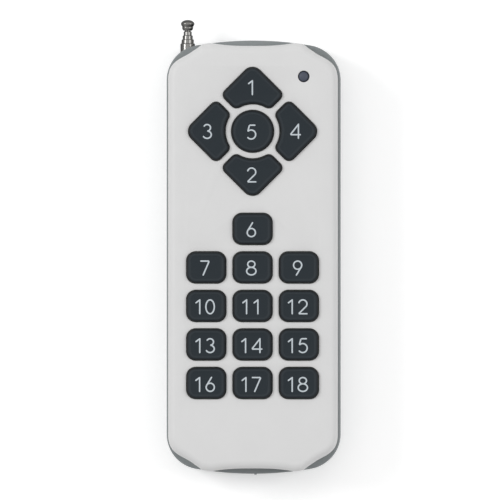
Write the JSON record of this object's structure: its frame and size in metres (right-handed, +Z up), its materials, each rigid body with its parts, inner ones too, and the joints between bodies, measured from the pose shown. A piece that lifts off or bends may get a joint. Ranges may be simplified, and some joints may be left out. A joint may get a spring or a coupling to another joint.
{
  "type": "wireless remote control",
  "caption": "Slim hand-held radio remote: light front cover on a grey rear shell, black numbered rubber keys with a diamond pad, signal lamp and retracted telescopic antenna.",
  "frame": {"origin": "middle of the flat back of the rear shell, on the face that it lies on", "axes": "+Z up through the key face, +Y along the case towards the antenna's end, +X to the right as the keys are read"},
  "size_m": [0.054, 0.1419, 0.0283],
  "materials": {
    "cover_plastic": "fine matte moulded plastic, light grey",
    "shell_plastic": "fine matte moulded plastic, mid grey",
    "key_rubber": "matte silicone rubber, black",
    "carbon": "carbon-filled rubber",
    "board": "green solder mask over fibreglass",
    "contact_metal": "gold-coloured contact",
    "lens": "smoked clear plastic",
    "led": "white lamp body",
    "antenna_chrome": "bright chrome plate on brass tube",
    "clip_metal": "plated spring metal",
    "screw_steel": "zinc-plated steel",
    "battery": "plain wrapped block battery",
    "foam": "soft foam",
    "connector": "soft black plastic with snap contacts",
    "red_sleeve": "red insulated wire",
    "black_sleeve": "black insulated wire",
    "chip_body": "black moulded package with plated legs",
    "can_metal": "plated metal can",
    "component": "lacquered components"
  },
  "bodies": {
    "case": {"front_cover": "cover_plastic", "rear_shell": "shell_plastic", "keypad_mat": "key_rubber", "circuit_board": "board", "contact_pads": "contact_metal", "led_lens": "lens", "indicator_led": "led", "antenna_sleeve": "antenna_chrome", "antenna_clip": "clip_metal", "antenna_screw": "screw_steel", "case_screws": "screw_steel", "battery": "battery", "battery_pad": "foam", "battery_connector": "connector", "red_lead": "red_sleeve", "black_lead": "black_sleeve", "encoder_chip": "chip_body", "resonator_can": "can_metal", "small_parts": "component"},
    "door": {"battery_door": "shell_plastic"},
    "section_1": {"antenna_section_1": "antenna_chrome"},
    "section_2": {"antenna_section_2": "antenna_chrome"},
    "section_3": {"antenna_section_3": "antenna_chrome"},
    "tip": {"antenna_tip": "antenna_chrome"},
    "key_1": {"key_1": "key_rubber", "pill_1": "carbon"},
    "key_2": {"key_2": "key_rubber", "pill_2": "carbon"},
    "key_3": {"key_3": "key_rubber", "pill_3": "carbon"},
    "key_4": {"key_4": "key_rubber", "pill_4": "carbon"},
    "key_5": {"key_5": "key_rubber", "pill_5": "carbon"},
    "key_6": {"key_6": "key_rubber", "pill_6": "carbon"},
    "key_7": {"key_7": "key_rubber", "pill_7": "carbon"},
    "key_8": {"key_8": "key_rubber", "pill_8": "carbon"},
    "key_9": {"key_9": "key_rubber", "pill_9": "carbon"},
    "key_10": {"key_10": "key_rubber", "pill_10": "carbon"},
    "key_11": {"key_11": "key_rubber", "pill_11": "carbon"},
    "key_12": {"key_12": "key_rubber", "pill_12": "carbon"},
    "key_13": {"key_13": "key_rubber", "pill_13": "carbon"},
    "key_14": {"key_14": "key_rubber", "pill_14": "carbon"},
    "key_15": {"key_15": "key_rubber", "pill_15": "carbon"},
    "key_16": {"key_16": "key_rubber", "pill_16": "carbon"},
    "key_17": {"key_17": "key_rubber", "pill_17": "carbon"},
    "key_18": {"key_18": "key_rubber", "pill_18": "carbon"}
  },
  "joints": [
    {"name": "key_1_press", "type": "slide", "parent": "case", "child": "key_1", "axis": [0, 0, -1], "range_m": [0, 0.0007], "stiffness_N_per_m": 1710},
    {"name": "key_2_press", "type": "slide", "parent": "case", "child": "key_2", "axis": [0, 0, -1], "range_m": [0, 0.0007], "stiffness_N_per_m": 1710},
    {"name": "key_3_press", "type": "slide", "parent": "case", "child": "key_3", "axis": [0, 0, -1], "range_m": [0, 0.0007], "stiffness_N_per_m": 1710},
    {"name": "key_4_press", "type": "slide", "parent": "case", "child": "key_4", "axis": [0, 0, -1], "range_m": [0, 0.0007], "stiffness_N_per_m": 1710},
    {"name": "key_5_press", "type": "slide", "parent": "case", "child": "key_5", "axis": [0, 0, -1], "range_m": [0, 0.0007], "stiffness_N_per_m": 1710},
    {"name": "key_6_press", "type": "slide", "parent": "case", "child": "key_6", "axis": [0, 0, -1], "range_m": [0, 0.0007], "stiffness_N_per_m": 1710},
    {"name": "key_7_press", "type": "slide", "parent": "case", "child": "key_7", "axis": [0, 0, -1], "range_m": [0, 0.0007], "stiffness_N_per_m": 1710},
    {"name": "key_8_press", "type": "slide", "parent": "case", "child": "key_8", "axis": [0, 0, -1], "range_m": [0, 0.0007], "stiffness_N_per_m": 1710},
    {"name": "key_9_press", "type": "slide", "parent": "case", "child": "key_9", "axis": [0, 0, -1], "range_m": [0, 0.0007], "stiffness_N_per_m": 1710},
    {"name": "key_10_press", "type": "slide", "parent": "case", "child": "key_10", "axis": [0, 0, -1], "range_m": [0, 0.0007], "stiffness_N_per_m": 1710},
    {"name": "key_11_press", "type": "slide", "parent": "case", "child": "key_11", "axis": [0, 0, -1], "range_m": [0, 0.0007], "stiffness_N_per_m": 1710},
    {"name": "key_12_press", "type": "slide", "parent": "case", "child": "key_12", "axis": [0, 0, -1], "range_m": [0, 0.0007], "stiffness_N_per_m": 1710},
    {"name": "key_13_press", "type": "slide", "parent": "case", "child": "key_13", "axis": [0, 0, -1], "range_m": [0, 0.0007], "stiffness_N_per_m": 1710},
    {"name": "key_14_press", "type": "slide", "parent": "case", "child": "key_14", "axis": [0, 0, -1], "range_m": [0, 0.0007], "stiffness_N_per_m": 1710},
    {"name": "key_15_press", "type": "slide", "parent": "case", "child": "key_15", "axis": [0, 0, -1], "range_m": [0, 0.0007], "stiffness_N_per_m": 1710},
    {"name": "key_16_press", "type": "slide", "parent": "case", "child": "key_16", "axis": [0, 0, -1], "range_m": [0, 0.0007], "stiffness_N_per_m": 1710},
    {"name": "key_17_press", "type": "slide", "parent": "case", "child": "key_17", "axis": [0, 0, -1], "range_m": [0, 0.0007], "stiffness_N_per_m": 1710},
    {"name": "key_18_press", "type": "slide", "parent": "case", "child": "key_18", "axis": [0, 0, -1], "range_m": [0, 0.0007], "stiffness_N_per_m": 1710},
    {"name": "section_1_slide", "type": "slide", "parent": "case", "child": "section_1", "axis": [0, 1, 0], "range_m": [0, 0.055]},
    {"name": "section_2_slide", "type": "slide", "parent": "section_1", "child": "section_2", "axis": [0, 1, 0], "range_m": [0, 0.055]},
    {"name": "section_3_slide", "type": "slide", "parent": "section_2", "child": "section_3", "axis": [0, 1, 0], "range_m": [0, 0.055]},
    {"name": "tip_slide", "type": "slide", "parent": "section_3", "child": "tip", "axis": [0, 1, 0], "range_m": [0, 0.055]},
    {"name": "door_slide", "type": "slide", "parent": "case", "child": "door", "axis": [0, -1, 0], "range_m": [0, 0.06]}
  ]
}
